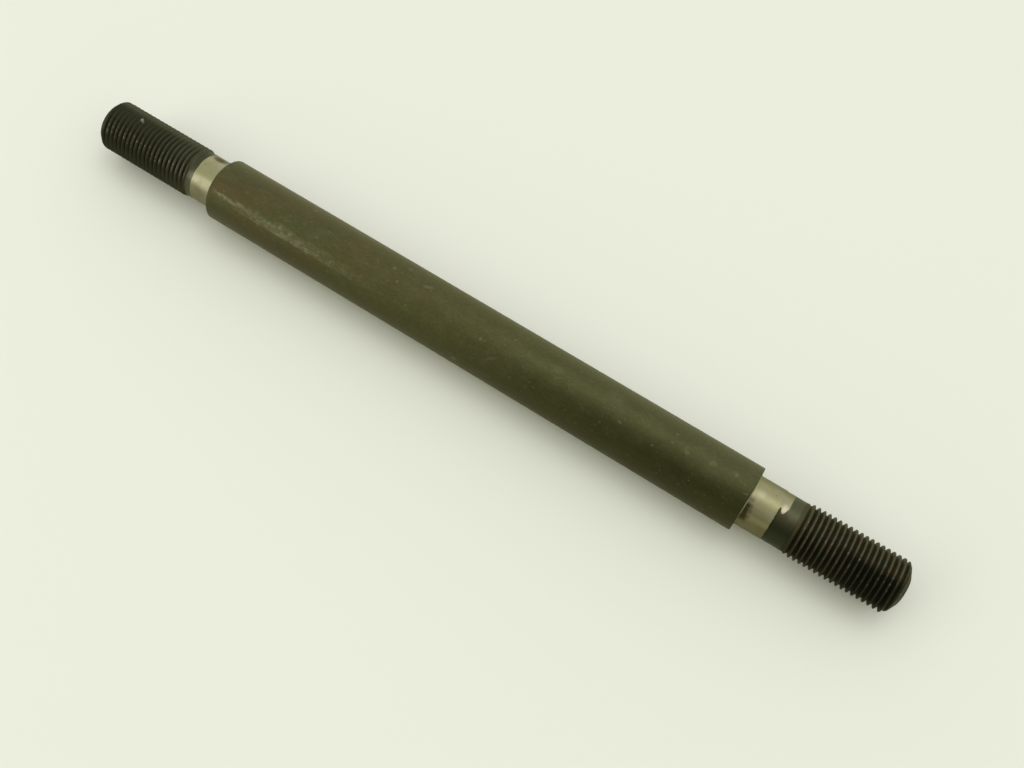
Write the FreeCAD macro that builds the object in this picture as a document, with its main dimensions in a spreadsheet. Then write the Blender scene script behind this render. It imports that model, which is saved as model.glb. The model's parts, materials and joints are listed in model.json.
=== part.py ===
import FreeCAD, Part
import os
import Sketcher

# A bicycle hub axle, turned from one steel bar. A plain shaft carries the hub's bearings. Each
# end steps down at a shoulder to a ground seat for the frame's fork end, then to a short collar
# and the thread for the axle nut, and closes in a blunt nose. The thread is rolled, so its
# crests stand above the collar: the solid has their outside diameter.
# The axle lies along X, with the origin on its axis, midway between the two shoulders.

doc = FreeCAD.newDocument("bicycle_axle")

# Driving dimensions, in millimetres
DIMENSIONS = {
    "shaft_diameter": 12.0,
    "shaft_length": 111.3,
    "left_rim_chamfer": 0.4,
    "right_rim_chamfer": 0.15,
    "seat_root_fillet": 0.3,
    "seat_length": 5.0,
    "seat_below_crest": 0.3,
    "collar_below_crest": 0.375,
    "left_collar_length": 1.0,
    "right_collar_length": 3.6,
    "thread_diameter": 9.9,
    "left_thread_length": 20.65,
    "right_thread_length": 19.35,
    "thread_lead_length": 0.35,
    "thread_end_bevel": 0.7,
    "nose_below_crest": 0.8,
    "nose_length": 0.95,
    "nose_round": 2.0,
    "tip_diameter": 4.5,
}

sheet = doc.addObject("Spreadsheet::Sheet", "sizes")
for row, (alias, millimetres) in enumerate(DIMENSIONS.items(), start=1):
    sheet.set(f"A{row}", alias.replace("_", " "))
    sheet.set(f"B{row}", str(millimetres))
    sheet.setAlias(f"B{row}", alias)
doc.recompute()


def size(expression):
    """The value of an expression of the sheet's aliases, in millimetres."""
    return float(sheet.evalExpression(expression))


# Radii that the ends of the axle share
SHAFT = "sizes.shaft_diameter / 2"
CREST = "sizes.thread_diameter / 2"
SEAT = f"{CREST} - sizes.seat_below_crest"
COLLAR = f"{CREST} - sizes.collar_below_crest"
NOSE = f"{CREST} - sizes.nose_below_crest"
TIP = "sizes.tip_diameter / 2"


def stub_stations(side):
    """One end of the axle, from its shoulder out to its tip.

    Each station is a name, a distance from the middle of the shaft and a radius.
    """
    shoulder = "sizes.shaft_length / 2"
    seat_end = f"{shoulder} + sizes.seat_length"
    collar_end = f"{seat_end} + sizes.{side}_collar_length"
    thread_end = f"{collar_end} + sizes.{side}_thread_length"
    tip = f"{thread_end} + sizes.nose_length"
    return [
        ("shoulder_rim", shoulder, SHAFT),
        ("seat_root", shoulder, SEAT),
        ("seat_end", seat_end, SEAT),
        ("collar_start", seat_end, COLLAR),
        ("collar_end", collar_end, COLLAR),
        ("thread_start", f"{collar_end} + sizes.thread_lead_length", CREST),
        ("thread_end", f"{thread_end} - sizes.thread_end_bevel", CREST),
        ("nose_base", thread_end, NOSE),
        ("tip_rim", tip, TIP),
        ("tip_centre", tip, "0"),
    ]


# The corners of the turned outline in order, from the left tip over the shaft to the right tip
corners = {}
for name, reach, radius in reversed(stub_stations("left")):
    corners[f"left_{name}"] = (f"-({reach})", radius)
for name, reach, radius in stub_stations("right"):
    corners[f"right_{name}"] = (reach, radius)


def place(corner):
    """A corner's place along the axle and its radius, in millimetres."""
    along, radius = corners[corner]
    return size(along), size(radius)


# The blank: the outline above the axis, turned once round it
axle = doc.addObject("PartDesign::Body", "axle")
axle.Label = "axle"
long_section = next(
    plane for plane in axle.Origin.OriginFeatures if plane.Role == "XY_Plane"
)
outline = axle.newObject("Sketcher::SketchObject", "turned_outline")
outline.AttachmentSupport = (long_section, [""])
outline.MapMode = "FlatFace"

START, END = 1, 2
ORIGIN = (-1, START)
AXIS = -1

points = [FreeCAD.Vector(*place(corner), 0) for corner in corners]
for start, end in zip(points, points[1:] + points[:1]):
    outline.addGeometry(Part.LineSegment(start, end))
for line in range(len(points)):
    following = (line + 1) % len(points)
    outline.addConstraint(Sketcher.Constraint("Coincident", line, END, following, START))


def dimension(name, kind, line, expression):
    """Measure a line's start from the origin with a named dimension, bound to the sheet."""
    measure = Sketcher.Constraint(kind, *ORIGIN, line, START, size(expression))
    outline.renameConstraint(outline.addConstraint(measure), name)
    outline.setExpression(f"Constraints.{name}", expression)


for line, (corner, (along, radius)) in enumerate(corners.items()):
    dimension(f"{corner}_along", "DistanceX", line, along)
    if corner.endswith("tip_centre"):
        outline.addConstraint(Sketcher.Constraint("PointOnObject", line, START, AXIS))
    else:
        dimension(f"{corner}_radius", "DistanceY", line, radius)

blank = axle.newObject("PartDesign::Revolution", "turned_blank")
blank.Profile = outline
blank.ReferenceAxis = (outline, ["H_Axis"])
blank.Angle = 360
doc.recompute()


def ring(feature, corner):
    """The name of the round edge that a corner of the outline leaves on a feature."""
    along, radius = place(corner)
    for number, edge in enumerate(feature.Shape.Edges, start=1):
        circle = edge.Curve
        if not isinstance(circle, Part.Circle):
            continue
        miss = max(abs(circle.Center.x - along), abs(circle.Radius - radius))
        if miss < Part.Precision.confusion():
            return f"Edge{number}"
    raise RuntimeError(f"no round edge at {corner}")


# The fillet that joins each seat to its shoulder
seat_roots = axle.newObject("PartDesign::Fillet", "seat_root_fillets")
seat_roots.Base = (blank, [ring(blank, "left_seat_root"), ring(blank, "right_seat_root")])
seat_roots.setExpression("Radius", "sizes.seat_root_fillet")
doc.recompute()

# The round of each nose, where its cone meets the flat tip
noses = axle.newObject("PartDesign::Fillet", "nose_rounds")
noses.Base = (seat_roots, [ring(seat_roots, "left_tip_rim"), ring(seat_roots, "right_tip_rim")])
noses.setExpression("Radius", "sizes.nose_round")
doc.recompute()

# The broken edge of each shoulder's rim, wider on the left
finished = noses
for side in ("left", "right"):
    rim = axle.newObject("PartDesign::Chamfer", f"{side}_rim_chamfer")
    rim.Base = (finished, [ring(finished, f"{side}_shoulder_rim")])
    rim.setExpression("Size", f"sizes.{side}_rim_chamfer")
    doc.recompute()
    finished = rim

for item in doc.Objects:
    if {"Invalid", "Error"} & set(item.State):
        raise RuntimeError(f"{item.Label} did not rebuild: {item.State}")
shape = axle.Shape
if shape.isNull() or not shape.isValid() or len(shape.Solids) != 1:
    raise RuntimeError("the axle is not one valid solid")

os.makedirs("parts", exist_ok=True)
shape.exportStep(f"parts/{axle.Label}.step")
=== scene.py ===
import json
import math

import bpy
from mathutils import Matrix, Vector


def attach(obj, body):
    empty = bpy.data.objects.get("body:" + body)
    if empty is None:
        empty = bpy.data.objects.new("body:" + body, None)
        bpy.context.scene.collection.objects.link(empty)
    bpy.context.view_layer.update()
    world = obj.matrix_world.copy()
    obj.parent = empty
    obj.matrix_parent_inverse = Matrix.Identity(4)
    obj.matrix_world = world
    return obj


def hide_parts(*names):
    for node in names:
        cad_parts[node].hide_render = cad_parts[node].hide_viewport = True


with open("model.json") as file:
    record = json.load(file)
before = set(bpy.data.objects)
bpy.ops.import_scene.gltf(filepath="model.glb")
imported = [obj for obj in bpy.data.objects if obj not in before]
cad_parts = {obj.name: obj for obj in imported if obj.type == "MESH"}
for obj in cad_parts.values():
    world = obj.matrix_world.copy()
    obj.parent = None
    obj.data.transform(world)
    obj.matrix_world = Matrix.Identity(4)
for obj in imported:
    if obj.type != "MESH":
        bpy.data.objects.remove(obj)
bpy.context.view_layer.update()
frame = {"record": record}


# The shaft is the thick middle of the axle, turned from round steel bar. Its dark olive-brown
# oxide was never polished off; parts slid along it have scuffed a pale streak near the left end.
MM = 0.001
RING_POINTS = 128
mounts = {mount["name"]: mount for mount in frame["record"]["mounts"]}
SHAFT_RADIUS = mounts["bearing_shaft"]["dims"]["r_mm"] * MM
LEFT_SHOULDER = mounts["left_shoulder"]["pos_m"][0]
RIGHT_SHOULDER = mounts["right_shoulder"]["pos_m"][0]
LEFT_RIM_CHAMFER = 0.4 * MM
RIGHT_RIM_CHAMFER = 0.15 * MM
RIM_SOFTENING = 0.06 * MM
RIM_SEGMENTS = 3


def turn_tube(name, stations):
    """An open tube along X: a ring drawn out through stations of (place, radius)."""
    bpy.ops.object.select_all(action="DESELECT")
    place, radius = stations[0]
    bpy.ops.mesh.primitive_circle_add(
        vertices=RING_POINTS, radius=radius, location=(place, 0, 0), rotation=(0, math.pi / 2, 0)
    )
    tube = bpy.context.object
    tube.name = name
    tube.data.name = name
    bpy.ops.object.transform_apply(location=True, rotation=True, scale=True)
    bpy.ops.object.mode_set(mode="EDIT")
    bpy.ops.mesh.select_mode(type="VERT")
    bpy.ops.mesh.select_all(action="SELECT")
    for next_place, next_radius in stations[1:]:
        step = (next_place - place, 0, 0)
        bpy.ops.mesh.extrude_region_move(TRANSFORM_OT_translate={"value": step})
        growth = next_radius / radius
        centre = (next_place, 0, 0)
        bpy.ops.transform.resize(value=(1, growth, growth), center_override=centre)
        place, radius = next_place, next_radius
    bpy.ops.object.mode_set(mode="OBJECT")
    return tube


shaft = turn_tube(
    "turned_shaft",
    [
        (LEFT_SHOULDER, SHAFT_RADIUS - LEFT_RIM_CHAMFER),
        (LEFT_SHOULDER + LEFT_RIM_CHAMFER, SHAFT_RADIUS),
        (RIGHT_SHOULDER - RIGHT_RIM_CHAMFER, SHAFT_RADIUS),
        (RIGHT_SHOULDER, SHAFT_RADIUS - RIGHT_RIM_CHAMFER),
    ],
)
bpy.ops.object.modifier_add(type="BEVEL")
softening = shaft.modifiers[-1]
softening.width = RIM_SOFTENING
softening.segments = RIM_SEGMENTS
softening.limit_method = "ANGLE"
bpy.ops.object.modifier_apply(modifier=softening.name)


def feed(tree, node, feeds):
    """Feed a shader node's inputs with numbers, colours or other nodes' outputs."""
    for socket, value in feeds.items():
        if isinstance(value, bpy.types.NodeSocket):
            tree.links.new(value, node.inputs[socket])
        else:
            node.inputs[socket].default_value = value


def add_node(tree, kind, feeds, **settings):
    """Add a shader node, set it up and feed it."""
    node = tree.nodes.new(kind)
    for name, value in settings.items():
        setattr(node, name, value)
    feed(tree, node, feeds)
    return node


def reckon(tree, operation, first, second=0.0):
    """The result of a sum on one or two values."""
    return add_node(tree, "ShaderNodeMath", {0: first, 1: second}, operation=operation).outputs[0]


def times(tree, first, *others):
    """The product of masks and values."""
    for other in others:
        first = reckon(tree, "MULTIPLY", first, other)
    return first


def plus(tree, first, *others):
    """The sum of masks and values."""
    for other in others:
        first = reckon(tree, "ADD", first, other)
    return first


def most(tree, first, *others):
    """The strongest of several masks."""
    for other in others:
        first = reckon(tree, "MAXIMUM", first, other)
    return first


def reverse(tree, mask):
    """A mask that is 1 where the given one is 0."""
    return reckon(tree, "SUBTRACT", 1.0, mask)


def rise(tree, value, start, end):
    """A mask that goes smoothly from 0 at start to 1 at end."""
    feeds = {"Value": value, "From Min": start, "From Max": end}
    return add_node(
        tree, "ShaderNodeMapRange", feeds, interpolation_type="SMOOTHSTEP"
    ).outputs["Result"]


def band(tree, value, rising, falling):
    """A mask that rises over one pair of values and falls again over another."""
    return times(tree, rise(tree, value, *rising), rise(tree, value, *falling))


def near_value(tree, value, centre, half_width):
    """A soft mask: 1 within a quarter of half_width of the centre, 0 beyond half_width."""
    off_centre = reckon(tree, "ABSOLUTE", reckon(tree, "SUBTRACT", value, centre))
    return rise(tree, off_centre, half_width, half_width / 4)


def vary(tree, value, low, high):
    """A value from 0 to 1, spread from low to high."""
    return add_node(
        tree, "ShaderNodeMapRange", {"Value": value, "To Min": low, "To Max": high}
    ).outputs["Result"]


def stray(tree, value, cloud, reach):
    """A value that a cloud pushes up or down by as much as reach, for a ragged edge."""
    return plus(tree, value, vary(tree, cloud, -reach, reach))


def lay(tree, colour, layers):
    """A colour with others laid over it in order, each through its mask at its strength."""
    for over, mask, strength in layers:
        feeds = {0: times(tree, mask, strength), 6: colour, 7: over}
        colour = add_node(tree, "ShaderNodeMix", feeds, data_type="RGBA").outputs[2]
    return colour


def new_group(name, inputs, outputs):
    """An empty shader node group with its named sockets, its inputs and its way out."""
    group = bpy.data.node_groups.new(name, "ShaderNodeTree")
    for socket, kind in inputs.items():
        group.interface.new_socket(socket, in_out="INPUT", socket_type=kind)
    for socket, kind in outputs.items():
        group.interface.new_socket(socket, in_out="OUTPUT", socket_type=kind)
    return group, group.nodes.new("NodeGroupInput").outputs, group.nodes.new("NodeGroupOutput")


def use_group(tree, group, feeds):
    """A shader node group placed in a material, with its own values."""
    return add_node(tree, "ShaderNodeGroup", feeds, node_tree=group).outputs


VECTOR = "NodeSocketVector"
NUMBER = "NodeSocketFloat"

# Where a point is on the axle: millimetres along it from the middle, degrees round it from the
# top towards the near side, and millimetres out from its axis.
place_group, _, way_out = new_group(
    "place_on_axle", {}, {"Point": VECTOR, "Along": NUMBER, "Around": NUMBER, "Height": NUMBER}
)
coordinates = add_node(place_group, "ShaderNodeTexCoord", {})
point = add_node(
    place_group,
    "ShaderNodeVectorMath",
    {0: coordinates.outputs["Object"], "Scale": 1 / MM},
    operation="SCALE",
).outputs[0]
parts = add_node(place_group, "ShaderNodeSeparateXYZ", {"Vector": point}).outputs
nearward = times(place_group, parts["Y"], -1.0)
turned = reckon(place_group, "ARCTAN2", nearward, parts["Z"])
across = times(place_group, parts["Y"], parts["Y"])
upward = times(place_group, parts["Z"], parts["Z"])
feed(
    place_group,
    way_out,
    {
        "Point": point,
        "Along": parts["X"],
        "Around": reckon(place_group, "DEGREES", turned),
        "Height": reckon(place_group, "SQRT", plus(place_group, across, upward)),
    },
)

# Cloudy patches of tarnish, rust or wear: a mask that is 1 where the clouds are thicker than
# Thick and 0 where they are thinner than Thin. Size is a patch's millimetres each way.
CLOUD_DETAIL = 5.0
CLOUD_ROUGHNESS = 0.6

patch_group, way_in, way_out = new_group(
    "tarnish_patches",
    {"Point": VECTOR, "Size": VECTOR, "Rough": NUMBER, "Thin": NUMBER, "Thick": NUMBER},
    {"Mask": NUMBER, "Cloud": NUMBER},
)
scaled = add_node(
    patch_group, "ShaderNodeVectorMath", {0: way_in["Point"], 1: way_in["Size"]}, operation="DIVIDE"
).outputs[0]
cloud = add_node(
    patch_group,
    "ShaderNodeTexNoise",
    {"Vector": scaled, "Scale": 1.0, "Detail": CLOUD_DETAIL, "Roughness": way_in["Rough"]},
).outputs["Fac"]
patch_mask = rise(patch_group, cloud, way_in["Thin"], way_in["Thick"])
feed(patch_group, way_out, {"Mask": patch_mask, "Cloud": cloud})


def patches(tree, place, size, thin, thick, rough=CLOUD_ROUGHNESS):
    """Cloudy patches on the axle, as a mask and as the cloud that it was cut from."""
    feeds = {"Point": place["Point"], "Size": size, "Rough": rough, "Thin": thin, "Thick": thick}
    return use_group(tree, patch_group, feeds)


# Specks of dirt and nicks: one ragged speck in each cell of so many millimetres, in a share of
# the cells. Its reach is a share of the cell, and differs from speck to speck.
TEAR_SCALE = 5.0
TEAR_DETAIL = 3.0
TEAR_REACH = (0.22, 0.22, 0.22)
LEAST_REACH = 0.4
MOST_REACH = 1.3
SPECK_CORE = 0.4

speck_group, way_in, way_out = new_group(
    "specks", {"Point": VECTOR, "Cell": NUMBER, "Share": NUMBER, "Reach": NUMBER}, {"Mask": NUMBER}
)
scaled = add_node(
    speck_group,
    "ShaderNodeVectorMath",
    {0: way_in["Point"], "Scale": reckon(speck_group, "DIVIDE", 1.0, way_in["Cell"])},
    operation="SCALE",
).outputs[0]
tear = add_node(
    speck_group,
    "ShaderNodeTexNoise",
    {"Vector": scaled, "Scale": TEAR_SCALE, "Detail": TEAR_DETAIL},
).outputs["Color"]
torn = add_node(
    speck_group, "ShaderNodeVectorMath", {0: tear, 1: TEAR_REACH, 2: scaled}, operation="MULTIPLY_ADD"
).outputs[0]
cells = add_node(speck_group, "ShaderNodeTexVoronoi", {"Vector": torn, "Scale": 1.0}).outputs
lot = add_node(speck_group, "ShaderNodeSeparateColor", {"Color": cells["Color"]}).outputs
chosen = reckon(speck_group, "LESS_THAN", lot["Red"], way_in["Share"])
reach = times(speck_group, way_in["Reach"], vary(speck_group, lot["Green"], LEAST_REACH, MOST_REACH))
speck = rise(speck_group, cells["Distance"], reach, times(speck_group, reach, SPECK_CORE))
feed(speck_group, way_out, {"Mask": times(speck_group, speck, chosen)})


def speckle(tree, place, cell, share, reach):
    """A mask of ragged specks on the axle."""
    feeds = {"Point": place["Point"], "Cell": cell, "Share": share, "Reach": reach}
    return use_group(tree, speck_group, feeds)["Mask"]


def spots(tree, place, rows):
    """A mask of soft spots on the axle.

    Each row is millimetres along from the middle, degrees round from the top, half a length in
    millimetres, half a width in degrees, the degrees that it slants in a millimetre, and its
    strength.
    """
    mask = 0.0
    for along, around, half_length, half_width, slant, strength in rows:
        beyond = reckon(tree, "SUBTRACT", place["Along"], along)
        straight = reckon(tree, "SUBTRACT", place["Around"], times(tree, beyond, slant))
        lengthways = near_value(tree, beyond, 0.0, half_length)
        sideways = near_value(tree, straight, around, half_width)
        mask = most(tree, mask, times(tree, lengthways, sideways, strength))
    return mask


def new_material(name):
    """A new material, its node tree, and where a point is on the axle."""
    material = bpy.data.materials.new(name)
    material.use_nodes = True
    tree = material.node_tree
    return material, tree, use_group(tree, place_group, {})


def finish_material(tree, feeds, relief, strength, depth):
    """Feed a material's shader, with a relief as bumps of the given depth."""
    bumps = {"Height": relief, "Strength": strength, "Distance": depth}
    normal = add_node(tree, "ShaderNodeBump", bumps).outputs["Normal"]
    feed(tree, tree.nodes["Principled BSDF"], {**feeds, "Normal": normal})


OLIVE_OXIDE = (0.0705, 0.069, 0.0235, 1)
BROWN_OXIDE = (0.080, 0.066, 0.0245, 1)
GREEN_OXIDE = (0.063, 0.0695, 0.0285, 1)
PALE_OXIDE = (0.104, 0.101, 0.045, 1)
REDDISH_OXIDE = (0.094, 0.068, 0.029, 1)
NEAR_SHADE_OXIDE = (0.034, 0.033, 0.0098, 1)
FAR_SHEEN_BROWN = (0.101, 0.095, 0.035, 1)
FAR_SHEEN_GREEN = (0.107, 0.111, 0.045, 1)
SCUFFED_METAL = (0.30, 0.285, 0.20, 1)
PALE_SPECK = (0.19, 0.187, 0.118, 1)
OXIDE_GLANCE = (1.0, 0.98, 0.84, 1)
OXIDE_SHADE = (0.68, 1.32)
OXIDE_ROUGHNESS = (0.38, 0.60)
OXIDE_METALLIC = (0.85, 0.95)
OXIDE_BUMP = 0.45
OXIDE_DEPTH = 0.05 * MM
LEFT_END = LEFT_SHOULDER / MM

dark_oxide, tree, place = new_material("dark_oxide")
broad = patches(tree, place, size=(9, 5, 5), thin=0.42, thick=0.60)
green = patches(tree, place, size=(6, 3.6, 3.6), thin=0.48, thick=0.62)
middling = patches(tree, place, size=(2.6, 1.6, 1.6), thin=0.42, thick=0.68)
fine = patches(tree, place, size=(0.6, 0.35, 0.35), thin=0.45, thick=0.75)
drawn = patches(tree, place, size=(7, 0.5, 0.5), thin=0.5, thick=0.72)
reddish = patches(tree, place, size=(5, 2.8, 2.8), thin=0.52, thick=0.66)
flecks = patches(tree, place, size=(0.8, 0.55, 0.55), thin=0.62, thick=0.72)
grain = patches(tree, place, size=(1.5, 0.6, 0.6), thin=0.40, thick=0.62, rough=0.75)
crumbs = patches(tree, place, size=(0.42, 0.24, 0.24), thin=0.36, thick=0.64, rough=0.7)
specks = speckle(tree, place, cell=1.9, share=0.13, reach=0.15)

# The scuff starts at the left shoulder as one bright line, breaks into patches with a clean lower
# edge, and dies away after a third of the shaft. A pair for rise() is where a mask starts and
# where it is full, in millimetres from the left shoulder or in degrees round from the top. A pair
# for vary() is the least and the most that clouds leave of it.
SCUFF_SWAY = 17.0
SCUFF_LINE = 34.0
SCUFF_LINE_EDGE = (5.5, 1.2)
SCUFF_LINE_START = (0.6, 2.8)
SCUFF_LINE_END = (14.0, 7.0)
SCUFF_TOP = (22.0, 34.0)
SCUFF_FOOT = (46.5, 43.5)
SCUFF_PATCHES_START = (5.0, 11.0)
SCUFF_PATCHES_END = (42.0, 16.0)
SCUFF_GRAIN = (0.12, 1.0)
SCUFF_CRUMBS = (0.22, 1.0)

from_left = reckon(tree, "SUBTRACT", place["Along"], LEFT_END)
swaying = stray(tree, place["Around"], middling["Cloud"], SCUFF_SWAY)
off_line = reckon(tree, "ABSOLUTE", reckon(tree, "SUBTRACT", swaying, SCUFF_LINE))
scuff_line = times(
    tree,
    rise(tree, off_line, *SCUFF_LINE_EDGE),
    band(tree, from_left, SCUFF_LINE_START, SCUFF_LINE_END),
)
scuff_patches = times(
    tree,
    rise(tree, swaying, *SCUFF_TOP),
    rise(tree, place["Around"], *SCUFF_FOOT),
    band(tree, from_left, SCUFF_PATCHES_START, SCUFF_PATCHES_END),
    vary(tree, grain["Mask"], *SCUFF_GRAIN),
)
scuff = times(
    tree, most(tree, scuff_line, scuff_patches), vary(tree, crumbs["Mask"], *SCUFF_CRUMBS)
)

# Pale nicks and smudges from handling, as rows for spots().
NICKS = [
    (-38.9, 41.0, 2.3, 6.5, 0.0, 0.32),
    (-37.1, 31.0, 0.5, 4.5, 0.0, 0.7),
    (-32.9, 43.0, 0.5, 4.0, 0.0, 0.4),
    (-14.7, -29.0, 0.6, 5.0, 0.0, 0.45),
    (-9.9, -14.6, 1.2, 5.0, -3.0, 0.5),
    (0.0, 78.8, 0.7, 6.0, 0.0, 0.6),
    (3.2, 17.9, 0.4, 5.0, 0.0, 0.45),
    (6.4, 38.0, 1.5, 4.5, -6.9, 0.18),
    (17.7, -4.0, 1.3, 7.0, 0.0, 0.16),
    (28.4, -15.0, 2.4, 14.0, 0.0, 0.12),
    (43.2, 4.5, 0.8, 6.0, 4.0, 0.25),
    (47.9, -1.5, 0.8, 7.0, -4.0, 0.25),
    (52.1, -4.0, 0.5, 5.0, 0.0, 0.35),
]
NICK_CRUMBS = (0.35, 1.0)

nicked = times(tree, spots(tree, place, NICKS), vary(tree, crumbs["Mask"], *NICK_CRUMBS))

# Painted shade darkens the near side, most of all towards the right end, and there its soft edge
# climbs towards the top. The oxide's tint goes from brown at the left end to green at the right,
# and a painted sheen makes the far side paler.
RIGHT_FADE = (44.0, 98.0)
LEFT_FADE = (60.0, 5.0)
NEAR_SHADE_EDGE = (4.0, 84.0)
NEAR_SHADE_UNDERSIDE = (160.0, 115.0)
NEAR_SHADE_BILLOW = 25.0
NEAR_SHADE_CLIMB = 26.0
NEAR_SHADE_GROWTH = (0.40, 0.88)
NEAR_SHADE_CLOUDS = (0.75, 1.25)
BROWN_GROWTH = (0.3, 1.0)
RED_GROWTH = (0.12, 0.6)
GREEN_PATCHES = 0.6
GREEN_GROWTH = 0.55
FAR_SHEEN_SIDE = (-16.0, -44.0)

rightward = rise(tree, from_left, *RIGHT_FADE)
leftward = rise(tree, from_left, *LEFT_FADE)
climbing = plus(tree, place["Around"], times(tree, rightward, NEAR_SHADE_CLIMB))
# Painted shade down the near side, darkest towards the right end, with a soft cloudy edge.
thick = times(
    tree,
    rise(tree, stray(tree, climbing, broad["Cloud"], NEAR_SHADE_BILLOW), *NEAR_SHADE_EDGE),
    rise(tree, place["Around"], *NEAR_SHADE_UNDERSIDE),
    vary(tree, rightward, *NEAR_SHADE_GROWTH),
    vary(tree, broad["Cloud"], *NEAR_SHADE_CLOUDS),
)
# Painted sheen: the far side is paler.
far_side_sheen = rise(tree, place["Around"], *FAR_SHEEN_SIDE)
far_sheen_oxide = lay(tree, FAR_SHEEN_BROWN, [(FAR_SHEEN_GREEN, rightward, 1.0)])
brown = times(tree, broad["Mask"], vary(tree, leftward, *BROWN_GROWTH))
greened = most(
    tree, times(tree, green["Mask"], GREEN_PATCHES), times(tree, rightward, GREEN_GROWTH)
)
rusty = times(tree, reddish["Mask"], vary(tree, leftward, *RED_GROWTH))
colour = lay(
    tree,
    OLIVE_OXIDE,
    [
        (BROWN_OXIDE, brown, 1.0),
        (GREEN_OXIDE, greened, 1.0),
        (PALE_OXIDE, middling["Mask"], 0.42),
        (REDDISH_OXIDE, rusty, 1.0),
        (PALE_OXIDE, drawn["Mask"], 0.2),
        (far_sheen_oxide, far_side_sheen, 0.6),
        (NEAR_SHADE_OXIDE, thick, 1.0),
        (SCUFFED_METAL, scuff, 0.47),
        (PALE_SPECK, flecks["Mask"], 0.45),
        (PALE_SPECK, specks, 0.4),
        (PALE_SPECK, nicked, 1.0),
    ],
)
shade = vary(tree, fine["Cloud"], *OXIDE_SHADE)
shaded_colour = add_node(
    tree, "ShaderNodeMix", {0: 1.0, 6: colour, 7: shade}, data_type="RGBA", blend_type="MULTIPLY"
).outputs[2]
relief = plus(
    tree,
    fine["Cloud"],
    times(tree, middling["Cloud"], 1.2),
    times(tree, specks, 0.8),
    times(tree, nicked, -1.0),
    times(tree, scuff, 0.5),
)
finish_material(
    tree,
    {
        "Base Color": shaded_colour,
        "Roughness": vary(tree, middling["Cloud"], *OXIDE_ROUGHNESS),
        "Metallic": vary(tree, scuff, *OXIDE_METALLIC),
        "Specular Tint": OXIDE_GLANCE,
    },
    relief,
    OXIDE_BUMP,
    OXIDE_DEPTH,
)
shaft.data.materials.append(dark_oxide)


# Each end steps down at its shoulder to a ground seat for a fork end, worn bright by it, and then
# to a short collar that kept its dark oxide. A small fillet joins the seat to the shoulder.
SEAT_RADIUS = 4.65 * MM
SEAT_LENGTH = 5.0 * MM
SEAT_ROOT_FILLET = 0.3 * MM
FILLET_SEGMENTS = 5
SEAT_EDGE_BREAK = 0.03 * MM
COLLAR_RADIUS = 4.575 * MM
LEFT_COLLAR_LENGTH = 1.0 * MM
RIGHT_COLLAR_LENGTH = 3.6 * MM
JOINING_GAP = 0.08 * MM
RING_TOLERANCE = 0.01 * MM


def pick_points(tube, wanted):
    """Select the points of a tube for which wanted(point) holds, and stay in edit mode."""
    bpy.ops.object.mode_set(mode="EDIT")
    bpy.ops.mesh.select_mode(type="VERT")
    bpy.ops.mesh.select_all(action="DESELECT")
    bpy.ops.object.mode_set(mode="OBJECT")
    for vertex in tube.data.vertices:
        vertex.select = wanted(vertex)
    bpy.ops.object.mode_set(mode="EDIT")


def pick_ring(tube, place, radius):
    """Select the ring of a tube at one place and radius."""

    def on_ring(point):
        off_place = abs(point.co.x - place)
        off_radius = abs(math.hypot(point.co.y, point.co.z) - radius)
        return max(off_place, off_radius) < RING_TOLERANCE

    pick_points(tube, on_ring)


def turn_seat(name, shoulder, outward, rim_radius, collar_length):
    """A shoulder face, its seat and its collar, up to just short of the thread."""
    seat_end = shoulder + outward * SEAT_LENGTH
    seat = turn_tube(
        name,
        [
            (shoulder, rim_radius),
            (shoulder, SEAT_RADIUS),
            (seat_end - outward * SEAT_EDGE_BREAK, SEAT_RADIUS),
            (seat_end, SEAT_RADIUS - SEAT_EDGE_BREAK),
            (seat_end, COLLAR_RADIUS),
            (seat_end + outward * (collar_length - JOINING_GAP), COLLAR_RADIUS),
        ],
    )
    pick_ring(seat, shoulder, SEAT_RADIUS)
    bpy.ops.mesh.bevel(offset=SEAT_ROOT_FILLET, segments=FILLET_SEGMENTS, affect="EDGES")
    bpy.ops.object.mode_set(mode="OBJECT")
    return seat


left_seat = turn_seat(
    "left_seat", LEFT_SHOULDER, -1, SHAFT_RADIUS - LEFT_RIM_CHAMFER, LEFT_COLLAR_LENGTH
)
right_seat = turn_seat(
    "right_seat", RIGHT_SHOULDER, 1, SHAFT_RADIUS - RIGHT_RIM_CHAMFER, RIGHT_COLLAR_LENGTH
)

GROUND_STEEL = (0.350, 0.340, 0.212, 1)
DARKER_STEEL = (0.285, 0.275, 0.148, 1)
TAN_STEEL = (0.29, 0.252, 0.134, 1)
GREY_STEEL = (0.33, 0.325, 0.230, 1)
OLIVE_STEEL = (0.255, 0.255, 0.125, 1)
TARNISHED_STEEL = (0.102, 0.091, 0.037, 1)
DULL_STEEL = (0.130, 0.117, 0.068, 1)
HIGHLIGHT_STEEL = (0.40, 0.38, 0.26, 1)
BROWN_STAIN = (0.035, 0.025, 0.0050, 1)
COLLAR_OXIDE = (0.079, 0.082, 0.046, 1)
COLLAR_BROWN = (0.072, 0.067, 0.036, 1)
COLLAR_SHADE_BLACK = (0.030, 0.033, 0.017, 1)
COLLAR_GRIME = (0.022, 0.017, 0.005, 1)
COLLAR_RUST = (0.060, 0.046, 0.027, 1)
COLLAR_HIGHLIGHT_GREY = (0.150, 0.153, 0.118, 1)
SEAT_GLANCE = (0.92, 0.91, 0.76, 1)
OXIDE_TO_STEEL_ROUGHNESS = (0.40, 0.36)
GROUND_ROUGHNESS = (-0.06, 0.12)
STAIN_ROUGHNESS = (0.0, 0.15)
STAIN_METALLIC = (0.95, 0.88)
SEAT_BUMP = 0.25
SEAT_DEPTH = 0.02 * MM
SHOULDER = RIGHT_SHOULDER / MM
SEAT_END = (RIGHT_SHOULDER + SEAT_LENGTH) / MM

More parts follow.
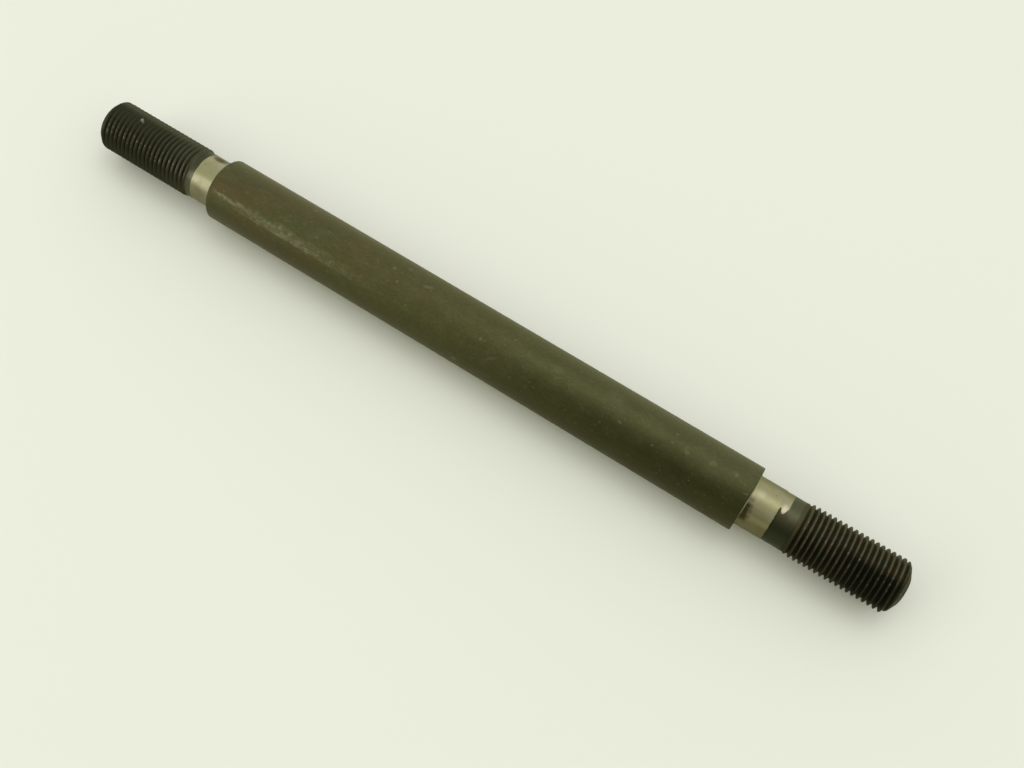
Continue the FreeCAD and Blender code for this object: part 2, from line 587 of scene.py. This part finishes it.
worn_seat, tree, place = new_material("worn_seat")
clouds = patches(tree, place, size=(2.2, 2.2, 2.2), thin=0.42, thick=0.66)
grey_clouds = patches(tree, place, size=(3.4, 3.1, 3.1), thin=0.5, thick=0.68)
ground = patches(tree, place, size=(0.12, 2.5, 2.5), thin=0.4, thick=0.6)
nibbles = patches(tree, place, size=(0.5, 0.5, 0.5), thin=0.35, thick=0.65)
blots = patches(tree, place, size=(1.3, 1.0, 1.0), thin=0.4, thick=0.6)
specks = speckle(tree, place, cell=0.9, share=0.30, reach=0.2)
reach = reckon(tree, "ABSOLUTE", place["Along"])
from_shoulder = reckon(tree, "SUBTRACT", reach, SHOULDER)
past_seat = reckon(tree, "SUBTRACT", reach, SEAT_END)
on_right = reckon(tree, "GREATER_THAN", place["Along"], 0.0)
on_left = reverse(tree, on_right)

# The wear stops a little short of the seat's end on the left and a little past it on the right,
# where a rounded finger of it reaches over the far side of the collar.
LEFT_WEAR_SHORT = 0.42
RIGHT_WEAR_OVER = 0.08
WEAR_RAGGED = 0.14
WEAR_EDGE = (0.06, -0.06)
FINGER_LENGTH = 1.42
FINGER_MIDDLE = 0.87
FINGER_FOOT = (12.1, 8.1)
FINGER_ROUNDING = 44.0
FINGER_HEIGHT = 12.0

off_finger = reckon(tree, "SUBTRACT", past_seat, FINGER_MIDDLE)
drawn_up = times(tree, off_finger, off_finger, FINGER_ROUNDING)
drawn_up = reckon(tree, "MINIMUM", drawn_up, FINGER_HEIGHT)
finger = rise(tree, plus(tree, place["Around"], drawn_up), *FINGER_FOOT)
worn_past = plus(
    tree,
    times(tree, finger, on_right, FINGER_LENGTH),
    vary(tree, on_right, -LEFT_WEAR_SHORT, RIGHT_WEAR_OVER),
)
past_wear = reckon(tree, "SUBTRACT", past_seat, worn_past)
bright = rise(tree, stray(tree, past_wear, nibbles["Cloud"], WEAR_RAGGED), *WEAR_EDGE)

# The fork end rubbed the top of the seats; their sides and underneath stayed tarnished. A few
# painted highlights lie on them, as rows for spots(), with a painted highlight line along the near
# side of the right seat. A span is a middle and half a width in degrees round; sides are a strength
# on the left and right.
RUBBED_FAR = (-62.0, -24.0)
RUBBED_NEAR = (55.0, 37.0)
RIGHT_RUBBED_LOWER = 8.0
OLIVE_FAR = (-26.0, -4.0)
OLIVE_NEAR = (27.0, 19.0)
TARNISH_CLOUDS = (0.6, 1.0)
TARNISH_SIDES = (0.86, 1.0)
HIGHLIGHT_LINE_SPAN = (29.0, 14.0)
HIGHLIGHT_LINE_STRENGTH = 0.7
HIGHLIGHT_SPOTS = [
    (SEAT_END + 0.9, -2.0, 0.6, 16.0, 0.0, 1.0),
    (SHOULDER + 1.5, -4.6, 1.0, 13.0, 0.0, 0.4),
    (0.9 - SEAT_END, 34.0, 1.5, 11.0, 0.0, 0.6),
]

rubbed_foot = reckon(tree, "SUBTRACT", place["Around"], times(tree, on_right, RIGHT_RUBBED_LOWER))
rubbed = times(
    tree, rise(tree, place["Around"], *RUBBED_FAR), rise(tree, rubbed_foot, *RUBBED_NEAR)
)
tarnish = times(
    tree,
    reverse(tree, rubbed),
    vary(tree, clouds["Cloud"], *TARNISH_CLOUDS),
    vary(tree, on_right, *TARNISH_SIDES),
)
olive_band = times(tree, band(tree, place["Around"], OLIVE_FAR, OLIVE_NEAR), on_left)
# Painted highlights: a line along the near side of the right seat and a few spots.
highlight_line = times(
    tree, near_value(tree, place["Around"], *HIGHLIGHT_LINE_SPAN), on_right, HIGHLIGHT_LINE_STRENGTH
)
painted_highlights = most(tree, spots(tree, place, HIGHLIGHT_SPOTS), highlight_line)

# Old grease has browned the near side of the right seat beside its fillet, and left a smear on
# the far side of the left seat that trails off to the shoulder.
STAIN_END = (1.9, 0.7)
STAIN_OFF_FILLET = (0.08, 0.25)
STAIN_TOP = (19.0, 30.0)
STAIN_FOOT = (78.0, 56.0)
STAIN_BLOTTED = 0.8
STAIN_NIBBLED = 0.6
STAIN_SWAY = 9.0
STAIN_HEAD_SPAN = (20.0, 13.0)
STAIN_HEAD_END = (1.5, 0.7)
SMEAR_ALONG = 2.4 - SEAT_END
SMEAR_AROUND = -42.0
SMEAR_REACH = 1.333
SMEAR_SPREAD = 11.76
SMEAR_EDGE = (1.7, 0.0)
SMEAR_NIBBLED = 0.7
SMEAR_STRENGTH = 0.85
TRAIL_SPAN = (-52.0, 22.0)
TRAIL_END = (2.8, 0.8)
TRAIL_BLOTS = (0.2, 0.35)

ragged_along = stray(tree, from_shoulder, blots["Cloud"], STAIN_BLOTTED)
ragged_along = stray(tree, ragged_along, nibbles["Cloud"], STAIN_NIBBLED)
ragged_around = stray(tree, place["Around"], blots["Cloud"], STAIN_SWAY)
right_stain = times(
    tree,
    rise(tree, ragged_along, *STAIN_END),
    rise(tree, from_shoulder, *STAIN_OFF_FILLET),
    band(tree, ragged_around, STAIN_TOP, STAIN_FOOT),
    on_right,
)
stain_head = times(
    tree,
    near_value(tree, place["Around"], *STAIN_HEAD_SPAN),
    rise(tree, from_shoulder, *STAIN_HEAD_END),
    on_right,
)
smear_along = reckon(tree, "SUBTRACT", place["Along"], SMEAR_ALONG)
smear_along = reckon(tree, "DIVIDE", smear_along, SMEAR_REACH)
smear_around = reckon(tree, "SUBTRACT", place["Around"], SMEAR_AROUND)
smear_around = reckon(tree, "DIVIDE", smear_around, SMEAR_SPREAD)
off_smear = plus(
    tree, times(tree, smear_along, smear_along), times(tree, smear_around, smear_around)
)
ragged_smear = stray(tree, off_smear, nibbles["Cloud"], SMEAR_NIBBLED)
smear = times(tree, rise(tree, ragged_smear, *SMEAR_EDGE), on_left, SMEAR_STRENGTH)
trail = times(
    tree,
    near_value(tree, place["Around"], *TRAIL_SPAN),
    rise(tree, from_shoulder, *TRAIL_END),
    on_left,
    vary(tree, blots["Mask"], *TRAIL_BLOTS),
)
stain = most(tree, right_stain, smear, trail)

steel = lay(
    tree,
    lay(tree, GROUND_STEEL, [(DARKER_STEEL, on_right, 1.0)]),
    [
        (TAN_STEEL, clouds["Mask"], 0.7),
        (GREY_STEEL, grey_clouds["Mask"], 0.6),
        (OLIVE_STEEL, olive_band, 0.8),
        (lay(tree, DULL_STEEL, [(TARNISHED_STEEL, on_right, 1.0)]), tarnish, 1.0),
        (TARNISHED_STEEL, stain_head, 0.65),
        (HIGHLIGHT_STEEL, painted_highlights, 1.0),
        (BROWN_STAIN, stain, 0.9),
        (BROWN_STAIN, specks, 0.55),
    ],
)

# Painted shade blackens the collars down the near side of the right one and over the top of the
# left one. Grime lies in the step beside the right seat, with rust by the finger of wear, and a
# painted grey highlight lies on the left collar in line with the scuff.
UNDERSIDE = (170.0, 130.0)
RIGHT_SHADE = (4.0, 50.0)
LEFT_SHADE = (26.0, 4.0)
LEFT_SHADE_STRENGTH = 0.55
GRIME_END = (0.5, 0.2)
RUSTY_SPOT = [(SEAT_END + 1.1, 13.0, 1.3, 15.0, 0.0, 1.0)]
COLLAR_HIGHLIGHT_SPAN = (34.0, 14.0)

shaded = plus(
    tree,
    times(tree, on_right, rise(tree, place["Around"], *RIGHT_SHADE)),
    times(tree, on_left, rise(tree, place["Around"], *LEFT_SHADE), LEFT_SHADE_STRENGTH),
)
shaded = times(tree, shaded, rise(tree, place["Around"], *UNDERSIDE))
grime = times(tree, rise(tree, past_seat, *GRIME_END), on_right)
# A painted grey highlight along the left collar.
collar_highlight = times(tree, near_value(tree, place["Around"], *COLLAR_HIGHLIGHT_SPAN), on_left)
oxide = lay(
    tree,
    COLLAR_OXIDE,
    [
        (COLLAR_BROWN, clouds["Mask"], 1.0),
        (COLLAR_SHADE_BLACK, shaded, 1.0),
        (COLLAR_RUST, spots(tree, place, RUSTY_SPOT), 0.7),
        (COLLAR_GRIME, grime, 0.75),
        (COLLAR_HIGHLIGHT_GREY, collar_highlight, 0.7),
    ],
)
satin = plus(
    tree,
    vary(tree, bright, *OXIDE_TO_STEEL_ROUGHNESS),
    vary(tree, ground["Cloud"], *GROUND_ROUGHNESS),
    vary(tree, stain, *STAIN_ROUGHNESS),
)
finish_material(
    tree,
    {
        "Base Color": lay(tree, oxide, [(steel, bright, 1.0)]),
        "Roughness": satin,
        "Metallic": vary(tree, stain, *STAIN_METALLIC),
        "Specular Tint": SEAT_GLANCE,
    },
    plus(tree, ground["Cloud"], times(tree, nibbles["Cloud"], 0.6)),
    SEAT_BUMP,
    SEAT_DEPTH,
)
left_seat.data.materials.append(worn_seat)
right_seat.data.materials.append(worn_seat)


# The threads were rolled into the bar, so their crests stand above the collars. Both are right
# hand, 26 turns to the inch. The right one fades in over a turn and a half, the left one at once,
# and each ends at a bevel.
PITCH = 25.4 * MM / 26
CREST_RADIUS = mounts["left_thread"]["dims"]["r_mm"] * MM
ROOT_RADIUS = 4.36 * MM
# One turn's outline: shares of the pitch along, and of the depth up from the root
TOOTH = [
    (0.0, 0.0),
    (0.06, 0.02),
    (0.11, 0.10),
    (0.36, 0.85),
    (0.42, 0.96),
    (0.5, 1.0),
    (0.58, 0.96),
    (0.64, 0.85),
    (0.89, 0.10),
    (0.94, 0.02),
    (1.0, 0.0),
]
LEFT_RUN_OUT = 0.35 * MM
RIGHT_RUN_OUT = 1.6 * MM
LEFT_CREST_SHIFT = 0.03 * MM
RIGHT_CREST_SHIFT = -0.22 * MM
NOSE_RADIUS = 4.15 * MM
END_BEVEL = 0.7 * MM
LEFT_THREAD_LENGTH = 20.65 * MM
RIGHT_THREAD_LENGTH = 19.35 * MM
SPARE_TURNS = 2
TURN_WELD = 0.005 * MM
POINT_WELD = 0.002 * MM
TRIM_TOLERANCE = 0.0001 * MM


def roll_thread(name, start, outward, length, run_out, crest_shift):
    """A threaded tube from a collar's end outwards, trimmed square at both ends."""
    turns = math.ceil(length / PITCH) + 2 * SPARE_TURNS
    low_end = min(start, start + outward * length)
    depth = CREST_RADIUS - ROOT_RADIUS
    bpy.ops.object.select_all(action="DESELECT")
    first_root = low_end - SPARE_TURNS * PITCH + crest_shift
    bpy.ops.mesh.primitive_plane_add(size=PITCH, location=(first_root, ROOT_RADIUS, 0))
    thread = bpy.context.object
    thread.name = name
    thread.data.name = name
    bpy.ops.object.transform_apply(location=True, rotation=True, scale=True)
    bpy.ops.object.mode_set(mode="EDIT")
    bpy.ops.mesh.select_mode(type="VERT")
    bpy.ops.mesh.select_all(action="SELECT")
    bpy.ops.mesh.merge(type="CENTER")
    for (share, height), (next_share, next_height) in zip(TOOTH, TOOTH[1:]):
        step = ((next_share - share) * PITCH, (next_height - height) * depth, 0)
        bpy.ops.mesh.extrude_region_move(TRANSFORM_OT_translate={"value": step})
    bpy.ops.object.mode_set(mode="OBJECT")

    bpy.ops.object.modifier_add(type="ARRAY")
    row = thread.modifiers[-1]
    row.count = turns
    row.use_relative_offset = False
    row.use_constant_offset = True
    row.constant_offset_displace = (PITCH, 0, 0)
    row.use_merge_vertices = True
    row.merge_threshold = TURN_WELD
    bpy.ops.object.modifier_apply(modifier=row.name)

    bpy.ops.object.modifier_add(type="SCREW")
    winding = thread.modifiers[-1]
    winding.axis = "X"
    winding.angle = 2 * math.pi
    winding.screw_offset = PITCH
    winding.steps = RING_POINTS
    winding.render_steps = RING_POINTS
    bpy.ops.object.modifier_apply(modifier=winding.name)

    for vertex in thread.data.vertices:
        height = math.hypot(vertex.co.y, vertex.co.z)
        from_collar = outward * (vertex.co.x - start)
        from_nose = length - from_collar
        share = min(1, max(0, from_collar / run_out))
        fading_in = share * share * (3 - 2 * share)
        wanted = COLLAR_RADIUS + (height - COLLAR_RADIUS) * fading_in
        bevel_share = min(1, max(0, from_nose / END_BEVEL))
        wanted = min(wanted, NOSE_RADIUS + (CREST_RADIUS - NOSE_RADIUS) * bevel_share)
        vertex.co.y *= wanted / height
        vertex.co.z *= wanted / height

    bpy.ops.object.mode_set(mode="EDIT")
    bpy.ops.mesh.select_all(action="SELECT")
    bpy.ops.mesh.remove_doubles(threshold=POINT_WELD)
    for place, trimmed in ((start, "clear_inner"), (start + outward * length, "clear_outer")):
        bpy.ops.mesh.select_all(action="SELECT")
        bpy.ops.mesh.bisect(
            plane_co=(place, 0, 0),
            plane_no=(outward, 0, 0),
            threshold=TRIM_TOLERANCE,
            **{trimmed: True},
        )
    bpy.ops.object.mode_set(mode="OBJECT")
    return thread


left_thread_start = LEFT_SHOULDER - SEAT_LENGTH - LEFT_COLLAR_LENGTH
right_thread_start = RIGHT_SHOULDER + SEAT_LENGTH + RIGHT_COLLAR_LENGTH
left_thread = roll_thread(
    "left_thread", left_thread_start, -1, LEFT_THREAD_LENGTH, LEFT_RUN_OUT, LEFT_CREST_SHIFT
)
right_thread = roll_thread(
    "right_thread", right_thread_start, 1, RIGHT_THREAD_LENGTH, RIGHT_RUN_OUT, RIGHT_CREST_SHIFT
)

VALLEY_BLACK = (0.022, 0.020, 0.0095, 1)
FLANK_OLIVE = (0.062, 0.060, 0.029, 1)
FLANK_RUST = (0.076, 0.044, 0.020, 1)
CREST_GREY = (0.110, 0.109, 0.073, 1)
GREASE = (0.040, 0.043, 0.023, 1)
PALE_GREASE = (0.066, 0.068, 0.039, 1)
FAR_SHEEN_GREASE = (0.086, 0.088, 0.052, 1)
CAKED_VALLEY_LIGHTENED = (0.068, 0.071, 0.039, 1)
CAKED_CREST = (0.028, 0.030, 0.0155, 1)
SHADED_BLACK = (0.008, 0.0076, 0.0038, 1)
GLINTING_STEEL = (0.27, 0.27, 0.215, 1)
NOSE_OLIVE = (0.024, 0.023, 0.009, 1)
THREAD_GLANCE = (0.68, 0.67, 0.50, 1)
THREAD_GLOSS = 0.25
THREAD_ROUGHNESS = (0.36, 0.62)
RUST_METALLIC = (0.72, 0.58)
THREAD_BUMP = 0.4
THREAD_DEPTH = 0.04 * MM
ROOT = ROOT_RADIUS / MM
CREST = CREST_RADIUS / MM
COLLAR_END = left_thread_start / MM

black_thread, tree, place = new_material("black_thread")
rusty = patches(tree, place, size=(3.0, 2.0, 2.0), thin=0.50, thick=0.66)
rubbed = patches(tree, place, size=(0.8, 1.1, 1.1), thin=0.30, thick=0.62)
gritty = patches(tree, place, size=(0.18, 0.18, 0.18), thin=0.4, thick=0.7)
glints = patches(tree, place, size=(0.9, 0.55, 0.55), thin=0.52, thick=0.66)
specks = speckle(tree, place, cell=2.8, share=0.1, reach=0.12)
on_left = reckon(tree, "LESS_THAN", place["Along"], 0.0)
on_right = reverse(tree, on_left)
depth_share = rise(tree, place["Height"], ROOT, CREST)

# The nut has worn the crests grey all round at the right end. Along the near side of the top of the
# left end a painted sheen brightens them, and painted glints lie there, most of all beside the
# collar.
FLANK_RISE = (0.02, 0.32)
CREST_RISE = (0.50, 1.0)
NEAR_TOP_RISE = (8.0, 34.0)
NEAR_TOP_FALL = (58.0, 40.0)
COLLARWARD = (COLLAR_END - 9.0, COLLAR_END)
RIGHT_WEAR = 0.7
CREST_WEAR_AND_SHEEN = (0.12, 0.58)
RUBBED_CLOUDS = (0.35, 1.0)
NEAR_TOP_GLINT_SIDES = (0.55, 0.15)
RIGHT_GLINT_SPAN = (7.0, 24.0)
RIGHT_GLINT_STRENGTH = 0.4
COLLAR_GLINT_SPREAD = 0.5

flank = rise(tree, depth_share, *FLANK_RISE)
crest = rise(tree, depth_share, *CREST_RISE)
near_top = band(tree, place["Around"], NEAR_TOP_RISE, NEAR_TOP_FALL)
collarward = rise(tree, place["Along"], *COLLARWARD)
wear_and_sheen = vary(tree, most(tree, near_top, times(tree, on_right, RIGHT_WEAR)), *CREST_WEAR_AND_SHEEN)
worn_and_sheened_crest = times(tree, crest, wear_and_sheen, vary(tree, rubbed["Mask"], *RUBBED_CLOUDS))
near_top_glints = times(tree, near_top, vary(tree, on_right, *NEAR_TOP_GLINT_SIDES))
right_glints = times(
    tree, near_value(tree, place["Around"], *RIGHT_GLINT_SPAN), on_right, RIGHT_GLINT_STRENGTH
)
# Where the painted glints show on the crests.
glint_spread = most(tree, glints["Mask"], times(tree, collarward, on_left, COLLAR_GLINT_SPREAD))
glint = times(tree, crest, glint_spread, most(tree, near_top_glints, right_glints))

# Painted shade blackens the near side, most of all towards the right tip.
NEAR_SIDE_SHADE_RISE = (0.0, 46.0)
NEAR_SIDE_SHADE_SIDES = (0.34, 0.68)
TIPWARD = (SHOULDER + 9.0, SHOULDER + 22.0)
TIP_SHADE_RISE = (-6.0, 18.0)
TIP_SHADE_STRENGTH = 0.88

near_side_shade = times(
    tree, band(tree, place["Around"], NEAR_SIDE_SHADE_RISE, UNDERSIDE), vary(tree, on_right, *NEAR_SIDE_SHADE_SIDES)
)
tip_shade = times(
    tree,
    rise(tree, place["Along"], *TIPWARD),
    band(tree, place["Around"], TIP_SHADE_RISE, UNDERSIDE),
    TIP_SHADE_STRENGTH,
)

# The left thread is filmed over with old grease, paler near the collar, and a painted sheen pales it
# on the far side. There, towards the tip, caked grease is painted lighter in the valleys than on the
# crests, as painted light that cancels their shade and hides the turns. The right thread is the
# rustier.
FILM_OFF_NEAR_TOP = (0.85, 0.0)
FAR_FILM_SHEEN = (-26.0, -46.0)
CAKED_SIDE = (16.0, -4.0)
CAKED_START = (COLLAR_END - 7.0, COLLAR_END - 13.0)
LEFT_NICK = [(-75.5, -20.0, 0.5, 6.0, 0.0, 1.0)]
NOSE_FADE = (ROOT, ROOT - 0.2)
RUST_SIDES = (0.1, 1.0)

far_film_sheen = rise(tree, place["Around"], *FAR_FILM_SHEEN)
filmed = times(tree, on_left, vary(tree, near_top, *FILM_OFF_NEAR_TOP))
film = lay(tree, GREASE, [(PALE_GREASE, collarward, 1.0), (FAR_SHEEN_GREASE, far_film_sheen, 1.0)])
# Caked grease, painted lighter in the valleys than on the crests to cancel their shade.
caked_and_lightened = times(
    tree, rise(tree, place["Around"], *CAKED_SIDE), rise(tree, place["Along"], *CAKED_START)
)
caked_grease_and_light = lay(tree, CAKED_VALLEY_LIGHTENED, [(CAKED_CREST, depth_share, 1.0), (FAR_SHEEN_GREASE, far_film_sheen, 1.0)])
rust = times(tree, rusty["Mask"], vary(tree, on_right, *RUST_SIDES))
colour = lay(
    tree,
    VALLEY_BLACK,
    [
        (lay(tree, FLANK_OLIVE, [(FLANK_RUST, rust, 1.0)]), flank, 1.0),
        (CREST_GREY, worn_and_sheened_crest, 1.0),
        (film, filmed, 1.0),
        (caked_grease_and_light, caked_and_lightened, 0.9),
        (SHADED_BLACK, most(tree, near_side_shade, tip_shade), 1.0),
        (GLINTING_STEEL, glint, 1.0),
        (NOSE_OLIVE, rise(tree, place["Height"], *NOSE_FADE), 1.0),
        (PALE_SPECK, specks, 0.8),
        (GLINTING_STEEL, spots(tree, place, LEFT_NICK), 1.0),
    ],
)
finish_material(
    tree,
    {
        "Base Color": colour,
        "Roughness": vary(tree, gritty["Cloud"], *THREAD_ROUGHNESS),
        "Metallic": vary(tree, rusty["Mask"], *RUST_METALLIC),
        "Specular IOR Level": THREAD_GLOSS,
        "Specular Tint": THREAD_GLANCE,
    },
    gritty["Cloud"],
    THREAD_BUMP,
    THREAD_DEPTH,
)
left_thread.data.materials.append(black_thread)
right_thread.data.materials.append(black_thread)


# The noses close the ends: a blunt cone from the last turn, run into a small flat by a large
# round, turned smooth so that a nut starts easily.
NOSE_LENGTH = 0.95 * MM
TIP_RADIUS = 2.25 * MM
TIP_ROUND_REACH = 0.473 * MM
TIP_ROUND_SEGMENTS = 6
TIP_CLOSING_RADIUS = 0.4 * MM


def turn_nose(name, base, outward):
    """A closed nose that starts just outside the end of the thread."""
    tip = base + outward * NOSE_LENGTH
    slope = (NOSE_RADIUS - TIP_RADIUS) / NOSE_LENGTH
    nose = turn_tube(
        name,
        [
            (base + outward * JOINING_GAP, NOSE_RADIUS - slope * JOINING_GAP),
            (tip, TIP_RADIUS),
            (tip, TIP_CLOSING_RADIUS),
        ],
    )
    bpy.ops.object.mode_set(mode="EDIT")
    bpy.ops.mesh.edge_face_add()
    pick_ring(nose, tip, TIP_RADIUS)
    bpy.ops.mesh.bevel(offset=TIP_ROUND_REACH, segments=TIP_ROUND_SEGMENTS, affect="EDGES")
    bpy.ops.object.mode_set(mode="OBJECT")
    return nose


left_nose_base = left_thread_start - LEFT_THREAD_LENGTH
right_nose_base = right_thread_start + RIGHT_THREAD_LENGTH
left_nose = turn_nose("left_nose", left_nose_base, -1)
right_nose = turn_nose("right_nose", right_nose_base, 1)
left_nose.data.materials.append(black_thread)
right_nose.data.materials.append(black_thread)


# The whole axle is one bar of steel: the turned lengths are welded into one closed skin, in
# which the threads meet their collars and noses.
SMOOTH_ANGLE = math.radians(32)

bpy.ops.object.select_all(action="DESELECT")
for length_of_bar in (left_nose, left_thread, left_seat, right_seat, right_thread, right_nose, shaft):
    length_of_bar.select_set(True)
bpy.context.view_layer.objects.active = shaft
bpy.ops.object.join()
axle = bpy.context.object
axle.name = "turned_axle"
axle.data.name = "turned_axle"

bpy.ops.object.mode_set(mode="EDIT")
bpy.ops.mesh.select_mode(type="VERT")
bpy.ops.mesh.select_all(action="SELECT")
bpy.ops.mesh.remove_doubles(threshold=POINT_WELD)
bpy.ops.mesh.select_all(action="DESELECT")
bpy.ops.mesh.select_non_manifold()
bpy.ops.object.mode_set(mode="OBJECT")
open_rims = {vertex.index for vertex in axle.data.vertices if vertex.select}
for joint in (left_nose_base, left_thread_start, right_thread_start, right_nose_base):
    pick_points(
        axle,
        lambda point: point.index in open_rims and abs(point.co.x - joint) < 2 * JOINING_GAP,
    )
    bpy.ops.mesh.bridge_edge_loops()
bpy.ops.mesh.select_all(action="SELECT")
bpy.ops.mesh.normals_make_consistent(inside=False)
bpy.ops.object.mode_set(mode="OBJECT")
bpy.ops.object.shade_smooth_by_angle(angle=SMOOTH_ANGLE)

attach(axle, "root")
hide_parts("axle")


# The pale table top that the axle lies on, with the shaft touching it along one line. It is plain
# and matt.
FLOOR_COLOUR = (0.845, 0.86, 0.765, 1)
FLOOR_ROUGHNESS = 0.9
FLOOR_SIZE = 6.0

bpy.ops.object.select_all(action="DESELECT")
bpy.ops.mesh.primitive_plane_add(size=FLOOR_SIZE, location=(0, 0, -SHAFT_RADIUS))
floor = bpy.context.object
floor.name = "floor"
floor_paint = bpy.data.materials.new("floor_paint")
floor_paint.use_nodes = True
feed(
    floor_paint.node_tree,
    floor_paint.node_tree.nodes["Principled BSDF"],
    {"Base Color": FLOOR_COLOUR, "Roughness": FLOOR_ROUGHNESS},
)
floor.data.materials.append(floor_paint)


# Soft studio light: a wide pale room, warmer on the near side and dim high above the camera's
# side, with a small soft box overhead behind the axle and a larger one low at the near left.
ROOM_LIGHT = (1.0, 1.0, 0.985, 1)
NEAR_LIGHT = (1.0, 1.0, 0.86, 1)
NEAR_WAY = Vector((0, -1, 0))
NEAR_FADE = (-0.1, 0.7)
DIM_LIGHT = (0.22, 0.22, 0.115, 1)
DIM_WAY = Vector((0.2, -0.75, 0.63)).normalized()
DIM_FADE = (0.70, 0.97)


def face(place, aim):
    """The turn that points a lamp or a camera from its place at its aim."""
    return (Vector(aim) - Vector(place)).to_track_quat("-Z", "Y").to_euler()


def hang_lamp(name, place, size, watts):
    """A square soft box that faces the middle of the axle."""
    bpy.ops.object.light_add(type="AREA", location=place)
    lamp = bpy.context.object
    lamp.name = name
    lamp.data.shape = "SQUARE"
    lamp.data.size = size
    lamp.data.energy = watts
    lamp.visible_camera = False
    lamp.rotation_euler = face(place, (0, 0, 0))


hang_lamp("lamp_above", place=(0.07, 0.26, 0.68), size=0.32, watts=0.5)
hang_lamp("lamp_left", place=(-0.43, -0.40, 0.31), size=0.5, watts=0.65)

room = bpy.data.worlds.new("room")
room.use_nodes = True
tree = room.node_tree
direction = add_node(tree, "ShaderNodeTexCoord", {}).outputs["Generated"]


def towards(way):
    """How far a direction in the room points one way: 1 is straight along it."""
    return add_node(
        tree, "ShaderNodeVectorMath", {0: direction, 1: way}, operation="DOT_PRODUCT"
    ).outputs["Value"]


light = lay(
    tree,
    ROOM_LIGHT,
    [
        (NEAR_LIGHT, rise(tree, towards(NEAR_WAY), *NEAR_FADE), 1.0),
        (DIM_LIGHT, rise(tree, towards(DIM_WAY), *DIM_FADE), 1.0),
    ],
)
feed(tree, tree.nodes["Background"], {"Color": light})
bpy.context.scene.world = room


# The camera stands high at the near right, where the photograph was taken from, and looks down
# on the axle.
CAMERA_PLACE = (0.05389, -0.06995, 0.18968)
CAMERA_AIM = (0.01104, -0.00397, 0)
CAMERA_LENS = 41.29
CAMERA_SENSOR = 36
NEAREST_SEEN = 0.01

bpy.ops.object.camera_add(location=CAMERA_PLACE)
camera = bpy.context.object
camera.rotation_euler = face(CAMERA_PLACE, CAMERA_AIM)
camera.data.lens = CAMERA_LENS
camera.data.sensor_width = CAMERA_SENSOR
camera.data.clip_start = NEAREST_SEEN
bpy.context.scene.camera = camera
bpy.context.scene.view_settings.view_transform = "Standard"
